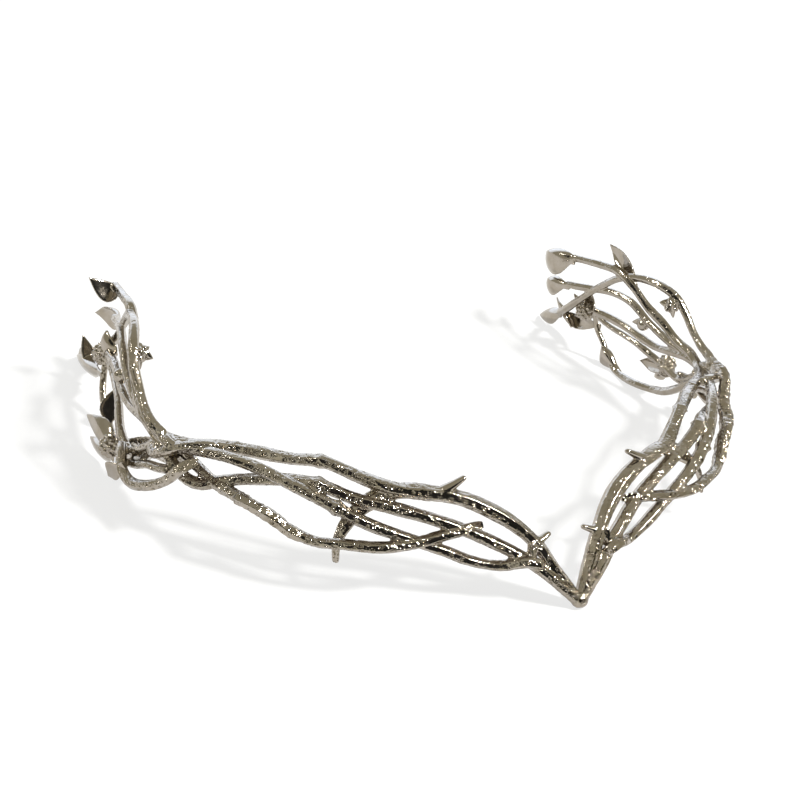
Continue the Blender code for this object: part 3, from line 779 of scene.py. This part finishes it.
def build_casting():
    sources = both_halves()
    mesh = bpy.data.meshes.new("diadem_casting")
    mesh.from_pydata(sources.points, [], sources.faces)
    piece = bpy.data.objects.new("diadem_casting", mesh)
    bpy.context.scene.collection.objects.link(piece)
    fuse(piece)
    outer_skin(piece.data)
    carve(piece, sources)
    thin_out(piece)
    keep_inside(piece.data, *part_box("diadem"))
    return split_up(piece)


# ---------------------------------------------------------------- materials

def add_node(tree, kind, **values):
    """A shader node with properties and input values set by name."""
    node = tree.nodes.new(kind)
    for name, value in values.items():
        if name in node.inputs:
            node.inputs[name].default_value = value
        else:
            setattr(node, name, value)
    return node


def ramp(tree, source, stops):
    """A colour ramp over a value, from (position, colour) stops."""
    node = tree.nodes.new("ShaderNodeValToRGB")
    band = node.color_ramp
    while len(band.elements) < len(stops):
        band.elements.new(1.0)
    for element, (position, colour) in zip(band.elements, stops):
        element.position = position
        element.color = colour
    tree.links.new(source, node.inputs["Fac"])
    return node.outputs["Color"]


def noise_at(tree, place_now, values):
    """Fine noise over the object, from its scale, detail and roughness."""
    scale, detail, roughness = values
    node = add_node(tree, "ShaderNodeTexNoise", Scale=scale, Detail=detail, Roughness=roughness)
    tree.links.new(place_now, node.inputs["Vector"])
    return node.outputs["Fac"]


def plate_colour(tree, place_now):
    """Warm and pale patches, with painted shade darkening the colour where the relief is deep."""
    relief = add_node(tree, "ShaderNodeAttribute", attribute_name="relief").outputs["Fac"]
    warm_to, pale_from = PATCH_EDGES
    tint = ramp(tree, noise_at(tree, place_now, PATCH_NOISE),
                [(warm_to, PLATE_WARM), (pale_from, PLATE_PALE)])
    # Painted shade: a darker colour is multiplied in where the relief is deep
    depth = ramp(tree, relief, [(PIT_SHADE_FROM, (1.0, 1.0, 1.0, 1.0)), (1.0, PIT_PAINTED_SHADE)])
    shade = add_node(tree, "ShaderNodeMix", data_type="RGBA", blend_type="MULTIPLY")
    shade.inputs["Factor"].default_value = 1.0
    tree.links.new(tint, shade.inputs["A"])
    tree.links.new(depth, shade.inputs["B"])
    return shade.outputs["Result"]


def plate_gloss(tree, place_now):
    """Roughness between polished and slightly worn."""
    gloss = add_node(tree, "ShaderNodeMapRange")
    gloss.inputs["To Min"].default_value = ROUGH_LEAST
    gloss.inputs["To Max"].default_value = ROUGH_MOST
    tree.links.new(noise_at(tree, place_now, WEAR_NOISE), gloss.inputs["Value"])
    return gloss.outputs["Result"]


def speck_level(tree, place_now):
    """Height of the surface, 0 in scattered specks and 1 between them."""
    specks = add_node(tree, "ShaderNodeTexVoronoi", Scale=1.0 / SPECK_SPACING)
    tree.links.new(place_now, specks.inputs["Vector"])
    dent = add_node(tree, "ShaderNodeMapRange", interpolation_type="SMOOTHSTEP")
    dent.inputs["From Max"].default_value = SPECK_SIZE
    tree.links.new(specks.outputs["Distance"], dent.inputs["Value"])
    chance = add_node(tree, "ShaderNodeSeparateColor")
    tree.links.new(specks.outputs["Color"], chance.inputs["Color"])
    spared = add_node(tree, "ShaderNodeMath", operation="GREATER_THAN")
    spared.inputs[1].default_value = SPECK_SHARE
    tree.links.new(chance.outputs["Red"], spared.inputs[0])
    level = add_node(tree, "ShaderNodeMath", operation="MAXIMUM")
    tree.links.new(dent.outputs["Result"], level.inputs[0])
    tree.links.new(spared.outputs["Value"], level.inputs[1])
    return level.outputs["Value"]


def plate_bump(tree, place_now):
    """Faint grain everywhere, and specks as strong as the bark is rough."""
    fine = add_node(tree, "ShaderNodeBump", Strength=GRAIN_BUMP, Distance=FINE_BUMP)
    tree.links.new(noise_at(tree, place_now, GRAIN_NOISE), fine.inputs["Height"])
    bark = add_node(tree, "ShaderNodeAttribute", attribute_name="bark").outputs["Fac"]
    bump = add_node(tree, "ShaderNodeBump", Distance=SPECK_DEPTH)
    tree.links.new(bark, bump.inputs["Strength"])
    tree.links.new(speck_level(tree, place_now), bump.inputs["Height"])
    tree.links.new(fine.outputs["Normal"], bump.inputs["Normal"])
    return bump.outputs["Normal"]


def white_metal():
    """Polished plate: pale on the raised metal, with painted shade darkening the pits."""
    material = bpy.data.materials.new("white_metal")
    material.use_nodes = True
    tree = material.node_tree
    shader = tree.nodes["Principled BSDF"]
    shader.inputs["Metallic"].default_value = 1.0
    place_now = tree.nodes.new("ShaderNodeTexCoord").outputs["Object"]
    tree.links.new(plate_colour(tree, place_now), shader.inputs["Base Color"])
    tree.links.new(plate_gloss(tree, place_now), shader.inputs["Roughness"])
    tree.links.new(plate_bump(tree, place_now), shader.inputs["Normal"])
    return material


def floor_paper():
    """White sweep paper that glows a little, so that only a pale shadow is left on it."""
    material = bpy.data.materials.new("floor_paper")
    material.use_nodes = True
    shader = material.node_tree.nodes["Principled BSDF"]
    shader.inputs["Base Color"].default_value = (PAPER_ALBEDO, PAPER_ALBEDO, PAPER_ALBEDO, 1.0)
    shader.inputs["Roughness"].default_value = 1.0
    shader.inputs["Specular IOR Level"].default_value = 0.0
    shader.inputs["Emission Color"].default_value = (1.0, 1.0, 1.0, 1.0)
    shader.inputs["Emission Strength"].default_value = PAPER_GLOW
    return material


# ---------------------------------------------------------------- studio

def add_floor():
    bpy.ops.mesh.primitive_plane_add(size=FLOOR_SIZE, location=(0.0, 0.0, 0.0))
    floor = bpy.context.object
    floor.name = "floor"
    floor.data.materials.append(floor_paper())


def direction_to(azimuth, elevation):
    """Unit vector towards a compass direction, measured from +Y towards +X."""
    flat = math.cos(elevation)
    return Vector((math.sin(azimuth) * flat, math.cos(azimuth) * flat, math.sin(elevation)))


def add_softbox(name, azimuth, elevation, distance, width, height, power, colour):
    light = bpy.data.lights.new(name, "AREA")
    light.shape = "RECTANGLE"
    light.size = width
    light.size_y = height
    light.energy = power
    light.color = colour
    lamp = bpy.data.objects.new(name, light)
    towards = direction_to(math.radians(azimuth), math.radians(elevation))
    lamp.location = LIT_CENTRE + towards * distance
    lamp.rotation_euler = towards.to_track_quat("Z", "Y").to_euler()
    bpy.context.scene.collection.objects.link(lamp)


def add_lobe(tree, towards, tone, azimuth, elevation, edge, colour):
    """The room's tone with a lobe of a colour laid over what is there so far."""
    facing = add_node(tree, "ShaderNodeVectorMath", operation="DOT_PRODUCT")
    tree.links.new(towards, facing.inputs[0])
    facing.inputs[1].default_value = direction_to(math.radians(azimuth), math.radians(elevation))
    share = add_node(tree, "ShaderNodeMapRange", interpolation_type="SMOOTHSTEP")
    share.inputs["From Min"].default_value, share.inputs["From Max"].default_value = edge
    tree.links.new(facing.outputs["Value"], share.inputs["Value"])
    mix = add_node(tree, "ShaderNodeMix", data_type="RGBA")
    tree.links.new(share.outputs["Result"], mix.inputs["Factor"])
    mix.inputs["A"].default_value = ROOM_TONE
    if tone:
        tree.links.new(tone, mix.inputs["A"])
    mix.inputs["B"].default_value = colour
    return mix.outputs["Result"]


def set_room():
    """A warm grey room, dark around the photographer, with the white sweep rising behind.

    The metal mirrors it, but the backdrop itself is a plain pale tone.
    """
    world = bpy.data.worlds.new("room")
    bpy.context.scene.world = world
    world.use_nodes = True
    tree = world.node_tree
    background = tree.nodes["Background"]
    towards = tree.nodes.new("ShaderNodeTexCoord").outputs["Generated"]
    tone = None
    for lobe in ROOM_LOBES:
        tone = add_lobe(tree, towards, tone, *lobe)
    plain = add_node(tree, "ShaderNodeMix", data_type="RGBA")
    seen = tree.nodes.new("ShaderNodeLightPath").outputs["Is Camera Ray"]
    tree.links.new(seen, plain.inputs["Factor"])
    tree.links.new(tone, plain.inputs["A"])
    plain.inputs["B"].default_value = BACKDROP_TONE
    tree.links.new(plain.outputs["Result"], background.inputs["Color"])


def set_camera():
    lens = bpy.data.cameras.new("camera")
    lens.lens = LENS_MM
    lens.clip_start = CLIP_START
    camera = bpy.data.objects.new("camera", lens)
    camera.location = SETTLE @ CAMERA_PLACE
    camera.rotation_euler = (
        SETTLE
        @ Matrix.Rotation(-CAMERA_AZIMUTH, 3, "Z")
        @ Matrix.Rotation(math.pi / 2.0 - CAMERA_DROP, 3, "X")
        @ Matrix.Rotation(CAMERA_ROLL, 3, "Z")).to_euler()
    bpy.context.scene.collection.objects.link(camera)
    bpy.context.scene.camera = camera


set_camera()
metal = white_metal()
for part in build_casting():
    part.data.materials.append(metal)
    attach(part, "root")
    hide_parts("diadem")
add_floor()
for softbox in SOFTBOXES:
    add_softbox(*softbox)
set_room()
bpy.context.scene.view_settings.view_transform = "Standard"
